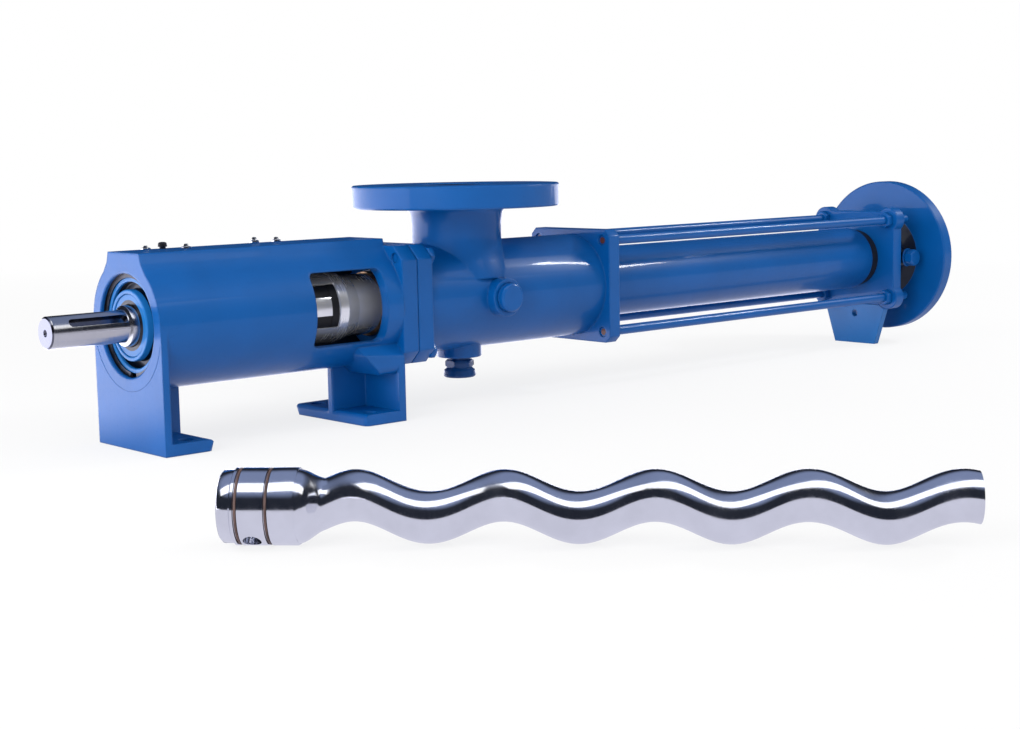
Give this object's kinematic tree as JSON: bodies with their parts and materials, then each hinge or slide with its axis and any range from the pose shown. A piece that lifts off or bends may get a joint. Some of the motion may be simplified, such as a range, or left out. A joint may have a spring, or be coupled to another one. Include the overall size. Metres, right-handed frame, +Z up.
{
  "type": "progressing cavity screw pump",
  "caption": "Horizontal progressing cavity screw pump on feet with a bearing pedestal, jaw coupling, top suction flange, tie-rod stator, end discharge flange and a loose rotor.",
  "frame": {"origin": "middle of the four foot bolt holes, at the underside of the feet", "axes": "+X along the pump axis from the drive end to the discharge flange, +Z up"},
  "size_m": [1.3395, 0.8832, 0.2331],
  "materials": {
    "blue_enamel": "gloss enamel over a casting",
    "pale_blue_enamel": "gloss enamel over a casting",
    "dark_blue_enamel": "gloss enamel over a casting",
    "polished_chrome": "mirror polished",
    "polished_steel": "polished",
    "machined_steel": "turned",
    "bearing_steel": "ground",
    "dark_steel": "blackened",
    "bronze": "dull, handled",
    "black_rubber": "matt",
    "packing_braid": "braided and greased",
    "gasket_fibre": "matt"
  },
  "bodies": {
    "casing": {"drive_casing": "blue_enamel", "front_bearing_cover": "pale_blue_enamel", "cover_circlip": "dark_steel", "front_oil_seal": "black_rubber", "rear_oil_seal": "black_rubber", "front_bearing_outer": "bearing_steel", "rear_bearing_outer": "bearing_steel", "grease_nipples": "bearing_steel", "breather": "dark_steel", "stuffing_box": "blue_enamel", "packing_rings": "packing_braid", "gland": "bronze", "flange_gasket": "gasket_fibre", "flange_screws": "blue_enamel", "suction_housing": "blue_enamel", "inspection_plugs": "blue_enamel", "drain_plug": "dark_blue_enamel", "stator_tube": "blue_enamel", "stator_rubber": "black_rubber", "tie_rods": "blue_enamel", "tie_rod_nuts": "blue_enamel", "end_plate": "blue_enamel", "end_support": "pale_blue_enamel", "discharge_branch": "blue_enamel", "branch_plug": "blue_enamel", "spare_rotor": "polished_chrome"},
    "drive_shaft": {"drive_shaft": "polished_steel", "front_bearing_inner": "bearing_steel", "rear_bearing_inner": "bearing_steel", "spacer_sleeve": "machined_steel", "lock_nut": "dark_steel", "drive_jaw": "polished_steel", "driven_jaw": "polished_steel", "seal_shaft": "polished_steel", "drive_joint_head": "machined_steel", "drive_joint_ring": "machined_steel"},
    "bearing_cages": {"front_bearing_balls": "bearing_steel", "rear_bearing_balls": "bearing_steel"},
    "coupling_rod": {"coupling_rod": "machined_steel", "drive_joint_boot": "black_rubber", "rotor_joint_boot": "black_rubber"},
    "rotor": {"rotor": "polished_chrome", "rotor_joint_ring": "machined_steel"}
  },
  "joints": [
    {"name": "drive_spin", "type": "hinge", "parent": "casing", "child": "drive_shaft", "pos_m": [0, 0, 0.115], "axis": [1, 0, 0], "continuous": true},
    {"name": "cage_spin", "type": "hinge", "parent": "casing", "child": "bearing_cages", "pos_m": [0, 0, 0.115], "axis": [1, 0, 0], "continuous": true},
    {"name": "rod_orbit", "type": "hinge", "parent": "casing", "child": "coupling_rod", "pos_m": [0.22, 0, 0.115], "axis": [1, 0, 0], "continuous": true},
    {"name": "rotor_spin", "type": "hinge", "parent": "coupling_rod", "child": "rotor", "pos_m": [0.376, 0, 0.1074], "axis": [1, 0, 0], "continuous": true}
  ],
  "couplings": [
    {"joint": "cage_spin", "follows": "drive_spin", "ratio": 0.38461},
    {"joint": "rod_orbit", "follows": "drive_spin", "ratio": -1},
    {"joint": "rotor_spin", "follows": "drive_spin", "ratio": 2}
  ]
}
